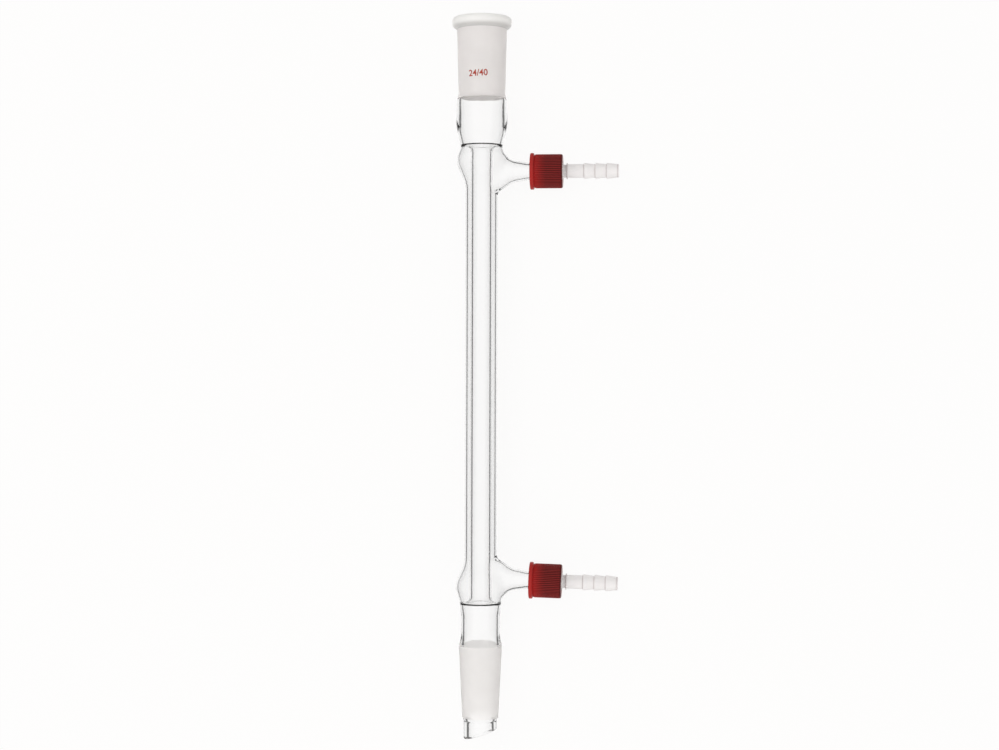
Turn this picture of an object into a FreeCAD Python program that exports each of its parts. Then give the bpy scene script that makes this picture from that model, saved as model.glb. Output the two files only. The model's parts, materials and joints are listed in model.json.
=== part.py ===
import FreeCAD, Part
import Sketcher
import math
import os

# Straight condenser for 24/40 joints, made as the real one is: one fused glass body, and on each
# of its two side arms a screw cap that clamps a hose connector and its seal.
# The glass is drawn upright: heights run up the condenser's axis from the drip tip, the side arms
# point along +X, and everything is then laid down as the condenser comes to rest on a bench.
# Lengths are in millimetres and angles in degrees.

sizes = {
    # standard taper joint 24/40: 24 mm at the wide end, 40 mm long, one in ten on the diameter
    "joint_length": 40.0,
    "joint_narrow_radius": 10.0,
    "joint_taper": 0.1,
    # drip tip, below the lower joint
    "tip_length": 12.2,
    "tip_radius": 9.2,
    "tip_bore": 6.4,
    "tip_slant": 17.5,
    "tip_rounding": 1.1,
    "tip_rounding_share": 0.4,
    "tip_shoulder": 1.4,
    "tip_bore_drop": 2.5,
    "tip_bore_rise": 1.0,
    "joint_edge": 0.5,
    # lower joint and the neck above it
    "cone_bore_narrow": 7.6,
    "cone_bore_wide": 9.45,
    "neck_length": 24.2,
    "neck_radius": 10.75,
    "neck_bore": 9.05,
    "neck_shoulder": 5.5,
    "neck_flare": 8.0,
    "neck_rounding": 8.0,
    # ring seals, where the inner tube flares out to the jacket
    "seal_spacing": 252.5,
    "waist_radius": 11.5,
    "waist_bore": 10.1,
    "waist_rounding": 2.0,
    "seal_inset": 1.2,
    "seal_dish": 1.8,
    "seal_wall": 1.37,
    "seal_rounding": 0.8,
    "flare_rounding": 4.0,
    # jacket and inner tube
    "jacket_radius": 9.0,
    "jacket_wall": 1.3,
    "jacket_rounding": 15.0,
    "tube_radius": 6.0,
    "tube_wall": 1.3,
    # bulbs at the ends of the jacket
    "bulb_corner_radius": 14.6,
    "bulb_wall": 1.4,
    "bulb_rounding": 9.5,
    "lower_bulb_rise": 9.1,
    "lower_bulb_length": 20.6,
    "upper_bulb_drop": 7.1,
    "upper_bulb_length": 20.7,
    # vapour chamber between the upper seal and the socket
    "chamber_length": 28.3,
    "chamber_radius": 14.45,
    "chamber_top_radius": 13.75,
    "chamber_belly": 13.0,
    "chamber_wall": 2.1,
    "chamber_rounding": 22.0,
    "chamber_shoulder": 1.8,
    # socket and its beaded rim
    "socket_foot_radius": 12.95,
    "socket_head_radius": 13.85,
    "bead_radius": 16.62,
    "bead_top_radius": 15.9,
    "bead_rise": 0.7,
    "bead_length": 6.1,
    "bead_rounding": 1.3,
    "mouth_length": 3.4,
    "mouth_radius": 13.2,
    # side arms, measured along each arm from the condenser's axis
    "lower_arm_rise": 13.0,
    "upper_arm_drop": 13.7,
    "lower_arm_droop": 1.6,
    "arm_wall": 1.2,
    "arm_root": 6.0,
    "arm_root_radius": 8.1,
    "arm_root_extra": 2.8,
    "arm_flare": 12.8,
    "arm_flare_radius": 7.3,
    "arm_flare_extra": 1.6,
    "arm_taper": 15.6,
    "arm_taper_radius": 6.4,
    "arm_taper_extra": 0.6,
    "arm_tube": 19.0,
    "arm_tube_radius": 5.75,
    "arm_neck": 26.0,
    "arm_neck_radius": 4.6,
    "arm_bore_root": 6.8,
    "arm_bore_root_radius": 6.4,
    "arm_bore_root_extra": 3.2,
    "stem_start": 30.5,
    "stem_radius": 6.95,
    "stem_end": 39.1,
    "stem_bore": 4.2,
    "stem_rounding": 1.0,
    # screw caps
    "cap_length": 17.9,
    "cap_radius": 9.1,
    "cap_collar_radius": 10.15,
    "cap_collar_length": 2.0,
    "cap_wall": 2.0,
    "cap_bore": 7.25,
    "cap_hole": 4.85,
    "cap_rounding": 0.5,
    "cap_ribs": 56,
    "rib_height": 0.3,
    "rib_width": 0.55,
    "rib_gap": 0.7,
    # hose connectors and their seals
    "washer_thickness": 2.0,
    "washer_radius": 6.0,
    "washer_hole": 3.5,
    "flange_radius": 5.9,
    "flange_thickness": 2.0,
    "spigot_radius": 3.3,
    "spigot_length": 3.0,
    "connector_bore": 2.4,
    "collar_radius": 4.6,
    "collar_length": 2.5,
    "groove_radius": 3.55,
    "groove_length": 1.7,
    "shoulder_radius": 4.45,
    "shoulder_length": 0.6,
    "hose_tube_radius": 3.75,
    "hose_tube_length": 8.9,
    "barb_radius": 4.4,
    "barb_root_radius": 3.65,
    "barb_pitch": 6.2,
    "barb_count": 3,
    "barb_step": 0.35,
    "hose_end_length": 0.7,
    "hose_end_rounding": 0.3,
}

overshoot = 2.0  # how far a cut runs past the glass, so that it leaves no skin
same_place = 0.001  # two places nearer than this are one


class Size:
    """A size of the sheet, or a sum of such sizes: its value draws, its formula binds."""

    def __init__(self, formula, value):
        self.formula = formula
        self.value = value

    def __add__(self, other):
        other = as_size(other)
        return Size(f"({self.formula} + {other.formula})", self.value + other.value)

    def __sub__(self, other):
        other = as_size(other)
        return Size(f"({self.formula} - {other.formula})", self.value - other.value)

    def __mul__(self, other):
        other = as_size(other)
        return Size(f"({self.formula} * {other.formula})", self.value * other.value)

    def __truediv__(self, other):
        other = as_size(other)
        return Size(f"({self.formula} / {other.formula})", self.value / other.value)

    def __neg__(self):
        return Size(f"(0 - {self.formula})", -self.value)


def as_size(number):
    if isinstance(number, Size):
        return number
    return Size(str(number), number)


def sine(angle):
    return Size(f"sin({angle.formula})", math.sin(math.radians(angle.value)))


def cosine(angle):
    return Size(f"cos({angle.formula})", math.cos(math.radians(angle.value)))


def tangent(angle):
    return Size(f"tan({angle.formula})", math.tan(math.radians(angle.value)))


def smaller(first, second):
    return Size(f"min({first.formula}; {second.formula})", min(first.value, second.value))


doc = FreeCAD.newDocument("straight_condenser")
sheet = doc.addObject("Spreadsheet::Sheet", "Sizes")
for row, (name, number) in enumerate(sizes.items(), start=1):
    sheet.set(f"A{row}", name)
    sheet.set(f"B{row}", str(number))
    sheet.setAlias(f"B{row}", name)
doc.recompute()


def size(name):
    return Size(f"Sizes.{name}", sizes[name])


# Heights up the condenser's axis

cone_foot = size("tip_length")
cone_head = cone_foot + size("joint_length")
lower_seal = cone_head + size("neck_length")
upper_seal = lower_seal + size("seal_spacing")
socket_foot = upper_seal + size("chamber_length")
socket_head = socket_foot + size("joint_length")
top = socket_head + size("mouth_length")
joint_wide_radius = size("joint_narrow_radius") + size("joint_length") * size("joint_taper") / 2
arm_heights = {
    "upper": upper_seal - size("upper_arm_drop"),
    "lower": lower_seal + size("lower_arm_rise"),
}
arm_droops = {"upper": as_size(0), "lower": size("lower_arm_droop")}

# Places along a side arm, from the condenser's axis

washer_end = size("stem_end") + size("washer_thickness")
flange_end = washer_end + size("flange_thickness")
cap_end = flange_end + size("cap_wall")
cap_start = cap_end - size("cap_length")
rib_start = cap_start + size("cap_collar_length") + size("rib_gap")
rib_end = cap_end - size("rib_gap")


# Sketches

def attach(sketch, body, role):
    plane = [feature for feature in body.Origin.OriginFeatures if feature.Role == role][0]
    sketch.AttachmentSupport = [(plane, "")]
    sketch.MapMode = "FlatFace"


def new_sketch(body, name, role="XZ_Plane"):
    sketch = body.newObject("Sketcher::SketchObject", name)
    attach(sketch, body, role)
    return sketch


def offset_sketch(sketch, base, turn_axis, angle):
    """Shifts and turns a sketch on its plane, with each number bound to the sheet."""
    base = [as_size(part) for part in base]
    angle = as_size(angle)
    sketch.AttachmentOffset = FreeCAD.Placement(
        FreeCAD.Vector(*[part.value for part in base]),
        FreeCAD.Rotation(turn_axis, angle.value),
    )
    for letter, part in zip("xyz", base):
        sketch.setExpression(f"AttachmentOffset.Base.{letter}", part.formula)
    if angle.value:
        sketch.setExpression("AttachmentOffset.Rotation.Angle", angle.formula)


def corner_rounding(before, corner, after, radius):
    """Where a rounding of this radius leaves and joins the sides of a corner, and its centre."""
    inward = (corner - before).normalize()
    outward = (after - corner).normalize()
    leftward = inward.x * outward.y - inward.y * outward.x > 0
    cut = radius * math.tan(inward.getAngle(outward) / 2)
    start = corner - inward * cut
    end = corner + outward * cut
    side = 1 if leftward else -1
    centre = start + FreeCAD.Vector(-inward.y, inward.x, 0) * radius * side
    return start, end, centre, leftward


def outline(sketch, corners):
    """A closed outline of straight sides, with every corner and rounding bound to the sheet.

    A corner is its place across and along the sketch and, where it is rounded, its radius.
    """
    corners = [[as_size(part) for part in corner] for corner in corners]
    count = len(corners)
    points = [FreeCAD.Vector(corner[0].value, corner[1].value, 0) for corner in corners]
    roundings = {}
    for i, corner in enumerate(corners):
        if len(corner) == 3:
            roundings[i] = corner_rounding(
                points[i - 1], points[i], points[(i + 1) % count], corner[2].value
            )
    lines = []
    for i in range(count):
        start = roundings[i][1] if i in roundings else points[i]
        following = (i + 1) % count
        end = roundings[following][0] if following in roundings else points[following]
        lines.append(Part.LineSegment(start, end))
    sketch.addGeometry(lines, False)

    constraints = []
    bound = []

    def bind(constraint_kind, geometry, size_of_it):
        bound.append((len(constraints), size_of_it.formula))
        constraints.append(Sketcher.Constraint(constraint_kind, *geometry, size_of_it.value))

    def place(geometry, corner):
        for constraint_kind, axis, part in (("DistanceX", -2, corner[0]), ("DistanceY", -1, corner[1])):
            if part.formula == "0":
                constraints.append(Sketcher.Constraint("PointOnObject", geometry, 1, axis))
            else:
                bind(constraint_kind, (-1, 1, geometry, 1), part)

    for i, corner in enumerate(corners):
        arriving = (i - 1) % count
        if i not in roundings:
            constraints.append(Sketcher.Constraint("Coincident", arriving, 2, i, 1))
            place(i, corner)
            continue
        start, end, centre, leftward = roundings[i]
        first, last = (start, end) if leftward else (end, start)
        circle = Part.Circle(centre, FreeCAD.Vector(0, 0, 1), corner[2].value)
        from_angle = math.atan2(first.y - centre.y, first.x - centre.x)
        to_angle = math.atan2(last.y - centre.y, last.x - centre.x)
        if to_angle < from_angle:
            to_angle += 2 * math.pi
        arc = sketch.addGeometry(Part.ArcOfCircle(circle, from_angle, to_angle), False)
        point = sketch.addGeometry(Part.Point(points[i]), True)
        arc_start, arc_end = (1, 2) if leftward else (2, 1)
        constraints.append(Sketcher.Constraint("Tangent", arriving, 2, arc, arc_start))
        constraints.append(Sketcher.Constraint("Tangent", arc, arc_end, i, 1))
        constraints.append(Sketcher.Constraint("PointOnObject", point, 1, arriving))
        constraints.append(Sketcher.Constraint("PointOnObject", point, 1, i))
        bind("Radius", (arc,), corner[2])
        place(point, corner)
    sketch.addConstraint(constraints)
    for index, formula in bound:
        sketch.setExpression(f"Constraints[{index}]", formula)


def ring_section(sketch, radius, extra=None):
    """A circle about the sketch's origin, or an upright ellipse that is taller by the extra."""
    if extra is None:
        circle = sketch.addGeometry(
            Part.Circle(FreeCAD.Vector(0, 0, 0), FreeCAD.Vector(0, 0, 1), radius.value), False
        )
        sketch.addConstraint(Sketcher.Constraint("Coincident", circle, 3, -1, 1))
        index = sketch.addConstraint(Sketcher.Constraint("Radius", circle, radius.value))
        sketch.setExpression(f"Constraints[{index}]", radius.formula)
        return
    height = radius + extra
    ellipse = sketch.addGeometry(
        Part.Ellipse(
            FreeCAD.Vector(0, height.value, 0),
            FreeCAD.Vector(radius.value, 0, 0),
            FreeCAD.Vector(0, 0, 0),
        ),
        False,
    )
    sketch.exposeInternalGeometry(ellipse)
    long_axis = ellipse + 1
    short_axis = ellipse + 2
    sketch.addConstraint(Sketcher.Constraint("Coincident", ellipse, 3, -1, 1))
    sketch.addConstraint(Sketcher.Constraint("Vertical", long_axis))
    for axis, half in ((long_axis, height), (short_axis, radius)):
        whole = half * 2
        index = sketch.addConstraint(Sketcher.Constraint("Distance", axis, whole.value))
        sketch.setExpression(f"Constraints[{index}]", whole.formula)


# Features

def turned(body, kind, name, corners, axis="V_Axis", base=None, droop=None):
    """A solid or a cut of revolution from a closed outline, about one axis of its sketch."""
    sketch = new_sketch(body, f"{name}_outline")
    if base is not None:
        offset_sketch(sketch, (0, base, 0), FreeCAD.Vector(0, 0, 1), -droop)
    outline(sketch, corners)
    doc.recompute()
    feature = body.newObject(f"PartDesign::{kind}", name)
    feature.Profile = sketch
    feature.ReferenceAxis = (sketch, [axis])
    feature.Angle = 360
    sketch.Visibility = False
    doc.recompute()
    return feature


def lofted(body, kind, name, height, droop, sections):
    """A solid or a cut lofted along a side arm, through sections square to it."""
    sketches = []
    for number, (place, radius, extra) in enumerate(sections, start=1):
        sketch = new_sketch(body, f"{name}_section_{number}", "YZ_Plane")
        rise = height - place * sine(droop)
        offset_sketch(sketch, (0, rise, place * cosine(droop)), FreeCAD.Vector(1, 0, 0), droop)
        ring_section(sketch, radius, extra)
        sketch.Visibility = False
        sketches.append(sketch)
    doc.recompute()
    loft = body.newObject(f"PartDesign::{kind}", name)
    loft.Profile = sketches[0]
    loft.Sections = sketches[1:]
    doc.recompute()
    return loft


def new_body(name):
    body = doc.addObject("PartDesign::Body", name)
    body.Label = name
    return body


# Glass body

bead_foot = top - size("bead_length")
lower_bulb_height = lower_seal + size("lower_bulb_rise")
upper_bulb_height = upper_seal - size("upper_bulb_drop")
jacket_foot = lower_seal + size("lower_bulb_length")
jacket_head = upper_seal - size("upper_bulb_length")
neck_foot = cone_head + size("neck_shoulder")
neck_head = lower_seal - size("neck_flare")
chamber_belly_height = upper_seal + size("chamber_belly")
chamber_top = socket_foot - size("chamber_shoulder")

# The two ring seals are dished walls between the vapour path and the water space.
tube_bore = size("tube_radius") - size("tube_wall")
seal_slope = size("seal_dish") / (size("waist_bore") - tube_bore)
seal_step = seal_slope * size("tube_wall")
lower_seal_edge = lower_seal - size("seal_inset")
lower_seal_mouth = lower_seal_edge + size("seal_dish")
upper_seal_edge = upper_seal + size("seal_inset")
upper_seal_mouth = upper_seal_edge - size("seal_dish")
water_flare_rounding = size("flare_rounding") - size("tube_wall")

lower_bulb = (size("bulb_corner_radius"), lower_bulb_height, size("bulb_rounding"))
bead = (size("bead_radius"), bead_foot + size("bead_rise"), size("bead_rounding"))
glass_outside = [
    (0, 0),
    (size("tip_radius"), 0),
    (size("tip_radius"), cone_foot - size("tip_shoulder"), size("joint_edge")),
    (size("joint_narrow_radius"), cone_foot, size("joint_edge")),
    (joint_wide_radius, cone_head, size("joint_edge")),
    (size("neck_radius"), neck_foot, size("neck_rounding")),
    (size("neck_radius"), neck_head, size("neck_rounding")),
    (size("waist_radius"), lower_seal, size("waist_rounding")),
    lower_bulb,
    (size("jacket_radius"), jacket_foot, size("jacket_rounding")),
    (size("jacket_radius"), jacket_head, size("jacket_rounding")),
    (size("bulb_corner_radius"), upper_bulb_height, size("bulb_rounding")),
    (size("waist_radius"), upper_seal, size("waist_rounding")),
    (size("chamber_radius"), chamber_belly_height, size("chamber_rounding")),
    (size("chamber_top_radius"), chamber_top, size("waist_rounding")),
    (size("socket_foot_radius"), socket_foot + size("seal_rounding"), size("waist_rounding")),
    (size("socket_head_radius"), bead_foot, size("seal_rounding")),
    bead,
    (size("bead_top_radius"), top, size("bead_rounding")),
    (0, top),
]

# The way of the vapour, from the drip tip through the inner tube to the socket's mouth.
vapour_path = [
    (0, -overshoot),
    (size("tip_bore"), -overshoot),
    (size("tip_bore"), cone_foot - size("tip_bore_drop"), size("waist_rounding")),
    (size("cone_bore_narrow"), cone_foot + size("tip_bore_rise"), size("waist_rounding")),
    (size("cone_bore_wide"), cone_head, size("neck_rounding")),
    (size("neck_bore"), neck_foot, size("neck_rounding")),
    (size("neck_bore"), neck_head, size("neck_rounding")),
    (size("waist_bore"), lower_seal_edge, size("seal_rounding")),
    (tube_bore, lower_seal_mouth, size("flare_rounding")),
    (tube_bore, upper_seal_mouth, size("flare_rounding")),
    (size("waist_bore"), upper_seal_edge, size("seal_rounding")),
    (size("chamber_radius") - size("chamber_wall"), chamber_belly_height, size("chamber_rounding")),
    (size("chamber_top_radius") - size("chamber_wall"), chamber_top, size("waist_rounding")),
    (size("joint_narrow_radius"), socket_foot, size("joint_edge")),
    (joint_wide_radius, socket_head, size("joint_edge")),
    (size("mouth_radius"), top),
    (size("mouth_radius"), top + overshoot),
    (0, top + overshoot),
]

# The cooling water's space, between the inner tube and the jacket.
water_edge = size("waist_radius") - size("jacket_wall")
edge_step = seal_slope * (water_edge - size("waist_bore"))
bulb_corner = size("bulb_corner_radius") - size("bulb_wall")
jacket_bore = size("jacket_radius") - size("jacket_wall")
inner_bulb_rounding = size("bulb_rounding") - size("bulb_wall")
inner_jacket_rounding = size("jacket_rounding") + size("jacket_wall")
water_space = [
    (size("tube_radius"), lower_seal_mouth - seal_step + size("seal_wall"), water_flare_rounding),
    (water_edge, lower_seal_edge - edge_step + size("seal_wall"), size("seal_rounding")),
    (bulb_corner, lower_bulb_height, inner_bulb_rounding),
    (jacket_bore, jacket_foot, inner_jacket_rounding),
    (jacket_bore, jacket_head, inner_jacket_rounding),
    (bulb_corner, upper_bulb_height, inner_bulb_rounding),
    (water_edge, upper_seal_edge + edge_step - size("seal_wall"), size("seal_rounding")),
    (size("tube_radius"), upper_seal_mouth + seal_step - size("seal_wall"), water_flare_rounding),
]

# A side arm leaves its bulb as a flared, upright oval and narrows to a round neck, past which the
# glass swells again into the stem for the cap. The bore follows it one wall inside. Both start
# inside the bulb, where their first sections clear its wall.
arm_sections = [
    (size("arm_root"), size("arm_root_radius"), size("arm_root_extra")),
    (size("arm_flare"), size("arm_flare_radius"), size("arm_flare_extra")),
    (size("arm_taper"), size("arm_taper_radius"), size("arm_taper_extra")),
    (size("arm_tube"), size("arm_tube_radius"), None),
    (size("arm_neck"), size("arm_neck_radius"), None),
]
arm_bore_sections = [
    (size("arm_bore_root"), size("arm_bore_root_radius"), size("arm_bore_root_extra")),
]
for place, radius, extra in arm_sections[1:]:
    arm_bore_sections.append((place, radius - size("arm_wall"), extra))
arm_stem = [
    (size("arm_neck"), 0),
    (size("arm_neck"), size("arm_neck_radius")),
    (size("stem_start"), size("stem_radius"), size("stem_rounding")),
    (size("stem_end"), size("stem_radius"), size("stem_rounding")),
    (size("stem_end"), 0),
]
arm_stem_bore = [
    (size("arm_neck"), 0),
    (size("arm_neck"), size("arm_neck_radius") - size("arm_wall")),
    (size("stem_start"), size("stem_bore"), size("stem_rounding")),
    (size("stem_end") + overshoot, size("stem_bore")),
    (size("stem_end") + overshoot, 0),
]


def cut_tip(body):
    """The drip tip is cut aslant, lowest on the side away from the arms."""
    sketch = new_sketch(body, "tip_cut_outline")
    reach = size("tip_radius") + overshoot
    slant = tangent(size("tip_slant"))
    outline(sketch, [
        (-reach, slant * -overshoot),
        (-reach, -2 * overshoot),
        (reach, -2 * overshoot),
        (reach, slant * (size("tip_radius") * 2 + overshoot)),
    ])
    doc.recompute()
    cut = body.newObject("PartDesign::Pocket", "tip_cut")
    cut.Profile = sketch
    cut.Type = "ThroughAll"
    cut.Midplane = True
    sketch.Visibility = False
    doc.recompute()
    return cut


def polish_tip(body, cut):
    """The cut end is melted round, inside and out."""
    slant = tangent(size("tip_slant")).value
    edges = []
    for number, edge in enumerate(cut.Shape.Edges, start=1):
        heights = [point.z - (point.x + sizes["tip_radius"]) * slant for point in edge.discretize(7)]
        if max(heights) < same_place and min(heights) > -same_place:
            edges.append(f"Edge{number}")
    wall = size("tip_radius") - size("tip_bore")
    rounding = smaller(size("tip_rounding"), wall * size("tip_rounding_share"))
    fillet = body.newObject("PartDesign::Fillet", "tip_polish")
    fillet.Base = (cut, edges)
    fillet.Radius = rounding.value
    fillet.setExpression("Radius", rounding.formula)
    doc.recompute()
    return fillet


def make_glass_body():
    body = new_body("glass_body")
    turned(body, "Revolution", "glass_outside", glass_outside)
    for arm in ("upper", "lower"):
        height = arm_heights[arm]
        droop = arm_droops[arm]
        lofted(body, "AdditiveLoft", f"{arm}_arm", height, droop, arm_sections)
        turned(body, "Revolution", f"{arm}_stem", arm_stem, "H_Axis", height, droop)
    turned(body, "Groove", "vapour_path", vapour_path)
    turned(body, "Groove", "water_space", water_space)
    for arm in ("upper", "lower"):
        height = arm_heights[arm]
        droop = arm_droops[arm]
        lofted(body, "SubtractiveLoft", f"{arm}_arm_bore", height, droop, arm_bore_sections)
        turned(body, "Groove", f"{arm}_stem_bore", arm_stem_bore, "H_Axis", height, droop)
    polish_tip(body, cut_tip(body))
    return body


# Pieces on a side arm, drawn along +X as the arm runs from the condenser's axis

def make_cap(name):
    """An open-topped screw cap: a smooth collar, a finely ribbed skirt and a wall with a hole."""
    body = new_body(name)
    turned(body, "Revolution", "cap_skirt", [
        (cap_start, 0),
        (cap_start, size("cap_collar_radius"), size("cap_rounding")),
        (cap_start + size("cap_collar_length"), size("cap_collar_radius"), size("cap_rounding")),
        (cap_start + size("cap_collar_length"), size("cap_radius")),
        (cap_end, size("cap_radius"), size("cap_rounding")),
        (cap_end, 0),
    ], "H_Axis")
    sketch = new_sketch(body, "rib_outline", "YZ_Plane")
    offset_sketch(sketch, (0, 0, rib_start), FreeCAD.Vector(0, 0, 1), 0)
    crest = size("rib_width") / 4
    outline(sketch, [
        (-size("rib_width") / 2, size("cap_radius") - size("rib_height")),
        (size("rib_width") / 2, size("cap_radius") - size("rib_height")),
        (size("rib_width") / 2, size("cap_radius")),
        (crest, size("cap_radius") + size("rib_height")),
        (-crest, size("cap_radius") + size("rib_height")),
        (-size("rib_width") / 2, size("cap_radius")),
    ])
    doc.recompute()
    rib = body.newObject("PartDesign::Pad", "rib")
    rib.Profile = sketch
    rib.Length = (rib_end - rib_start).value
    rib.setExpression("Length", (rib_end - rib_start).formula)
    sketch.Visibility = False
    doc.recompute()
    ribs = body.newObject("PartDesign::PolarPattern", "ribs")
    ribs.Originals = [rib]
    ribs.Axis = ([feature for feature in body.Origin.OriginFeatures if feature.Role == "X_Axis"][0], [""])
    ribs.Angle = 360
    ribs.Occurrences = sizes["cap_ribs"]
    ribs.setExpression("Occurrences", "Sizes.cap_ribs")
    body.Tip = ribs
    doc.recompute()
    turned(body, "Groove", "cap_bore", [
        (cap_start - overshoot, 0),
        (cap_start - overshoot, size("cap_bore")),
        (flange_end, size("cap_bore")),
        (flange_end, size("cap_hole")),
        (cap_end + overshoot, size("cap_hole")),
        (cap_end + overshoot, 0),
    ], "H_Axis")
    return body


def make_seal(name):
    """A flat silicone washer between the glass rim and the connector's flange."""
    body = new_body(name)
    turned(body, "Revolution", "washer", [
        (size("stem_end"), size("washer_hole")),
        (size("stem_end"), size("washer_radius")),
        (washer_end, size("washer_radius")),
        (washer_end, size("washer_hole")),
    ], "H_Axis")
    return body


def make_hose_connector(name):
    """A barbed hose tail whose flange is held between the seal and the cap's wall."""
    body = new_body(name)
    collar_end = flange_end + size("collar_length")
    groove_end = collar_end + size("groove_length")
    shoulder_end = groove_end + size("shoulder_length")
    barbs_start = shoulder_end + size("hose_tube_length")
    hose_end = barbs_start + size("barb_pitch") * size("barb_count") + size("hose_end_length")
    spigot_start = washer_end - size("washer_thickness") - size("spigot_length")
    corners = [
        (spigot_start, 0),
        (spigot_start, size("spigot_radius"), size("hose_end_rounding")),
        (washer_end, size("spigot_radius")),
        (washer_end, size("flange_radius")),
        (flange_end, size("flange_radius")),
        (flange_end, size("collar_radius")),
        (collar_end, size("collar_radius")),
        (collar_end, size("groove_radius")),
        (groove_end, size("groove_radius")),
        (groove_end, size("shoulder_radius")),
        (shoulder_end, size("shoulder_radius")),
        (shoulder_end, size("hose_tube_radius")),
    ]
    for barb in range(sizes["barb_count"]):
        barb_start = barbs_start + size("barb_pitch") * barb
        root = size("hose_tube_radius") if barb == 0 else size("barb_root_radius")
        corners.append((barb_start, root))
        corners.append((barb_start + size("barb_step"), size("barb_radius")))
    corners.append((hose_end - size("hose_end_length"), size("barb_root_radius")))
    corners.append((hose_end, size("barb_root_radius"), size("hose_end_rounding")))
    corners.append((hose_end, 0))
    turned(body, "Revolution", "hose_tail", corners, "H_Axis")
    turned(body, "Groove", "connector_bore", [
        (spigot_start - overshoot, 0),
        (spigot_start - overshoot, size("connector_bore")),
        (hose_end + overshoot, size("connector_bore")),
        (hose_end + overshoot, 0),
    ], "H_Axis")
    return body


# Rest on a bench: the condenser lies on its rim bead, its lower bulb and the ribs of the lower cap,
# with both arms drooping to the same side.

def crest_centre(corners, crest):
    """Centre and radius of the rounding of one corner of an outline."""
    points = [FreeCAD.Vector(as_size(corner[0]).value, as_size(corner[1]).value, 0) for corner in corners]
    i = corners.index(crest)
    radius = crest[2].value
    centre = corner_rounding(points[i - 1], points[i], points[(i + 1) % len(points)], radius)[2]
    return centre.x, centre.y, radius


def rest_rotation():
    """How the upright glass turns to lie with its bead, its lower bulb and a cap on one floor."""
    bulb_across, bulb_along, bulb_rounding = crest_centre(glass_outside, lower_bulb)
    bead_across, bead_along, bead_rounding = crest_centre(glass_outside, bead)
    along = bead_along - bulb_along
    across = bead_across - bulb_across
    step = (bead_rounding - bulb_rounding) / math.hypot(along, across)
    pitch = math.atan2(across, along) + math.asin(step)
    floor = bulb_along * math.sin(pitch) - bulb_across * math.cos(pitch) - bulb_rounding
    arm_above_floor = arm_heights["lower"].value * math.sin(pitch) - floor
    reach = rib_end.value
    ring = sizes["cap_radius"] + sizes["rib_height"]
    slope = math.asin(arm_above_floor / math.hypot(reach, ring)) - math.atan2(ring, reach)
    droop = math.radians(sizes["lower_arm_droop"])
    roll = math.asin(
        (math.sin(slope) - math.sin(pitch) * math.sin(droop)) / (math.cos(pitch) * math.cos(droop))
    )
    x_axis = FreeCAD.Vector(1, 0, 0)
    y_axis = FreeCAD.Vector(0, 1, 0)
    raised = FreeCAD.Rotation(x_axis, math.degrees(pitch))
    rolled = FreeCAD.Rotation(y_axis, math.degrees(roll))
    laid = FreeCAD.Rotation(x_axis, -90)
    return raised.multiply(rolled).multiply(laid)


pieces = [make_glass_body()]
arm_pieces = {}
for arm in ("upper", "lower"):
    arm_pieces[arm] = [
        make_cap(f"{arm}_cap"),
        make_hose_connector(f"{arm}_hose_connector"),
        make_seal(f"{arm}_seal"),
    ]
    pieces += arm_pieces[arm]

arm_places = {}
for arm in ("upper", "lower"):
    droop = FreeCAD.Rotation(FreeCAD.Vector(0, 1, 0), arm_droops[arm].value)
    arm_places[arm] = FreeCAD.Placement(FreeCAD.Vector(0, 0, arm_heights[arm].value), droop)

# The rest frame's origin is on the bench, under the middle of the whole condenser.
laid_down = FreeCAD.Placement(FreeCAD.Vector(0, 0, 0), rest_rotation())
box = FreeCAD.BoundBox()
own_places = {"glass_body": FreeCAD.Placement()}
for arm in ("upper", "lower"):
    for piece in arm_pieces[arm]:
        own_places[piece.Label] = arm_places[arm]
for piece in pieces:
    laid = piece.Shape.copy()
    laid.Placement = laid_down.multiply(own_places[piece.Label])
    box.add(laid.optimalBoundingBox(False))
origin = FreeCAD.Vector(box.Center.x, box.Center.y, box.ZMin)
rest_place = FreeCAD.Placement(-origin, FreeCAD.Rotation()).multiply(laid_down)
for piece in pieces:
    piece.Placement = rest_place.multiply(own_places[piece.Label])
doc.recompute()

for feature in doc.Objects:
    if "Invalid" in feature.State or "Error" in feature.State:
        raise ValueError(f"{feature.Label} did not build: {feature.State}")
for piece in pieces:
    if piece.Shape.isNull() or not piece.Shape.isValid() or len(piece.Shape.Solids) != 1:
        raise ValueError(f"{piece.Label} is not one valid solid")

os.makedirs("parts", exist_ok=True)
for piece in pieces:
    piece.Shape.exportStep(f"parts/{piece.Label}.step")
    print(f"{piece.Label}: {piece.Shape.Volume / 1000:.3f} cubic cm, {len(piece.Shape.Faces)} faces")
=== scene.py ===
import json
import math

import bmesh
import bpy
from mathutils import Matrix, Vector


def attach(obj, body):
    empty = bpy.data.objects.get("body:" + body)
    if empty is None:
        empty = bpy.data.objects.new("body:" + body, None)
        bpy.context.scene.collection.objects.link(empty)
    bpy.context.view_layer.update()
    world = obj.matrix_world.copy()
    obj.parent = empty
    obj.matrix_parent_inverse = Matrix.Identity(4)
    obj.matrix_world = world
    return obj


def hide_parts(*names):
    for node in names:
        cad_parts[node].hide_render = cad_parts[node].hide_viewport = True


# Straight condenser for 24/40 joints, with its hose connectors clamped by screw caps.
# It is drawn upright in millimetres, heights running up its axis from the drip tip and the side
# arms pointing along +X, and each mesh is then laid where the frame says.

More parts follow.
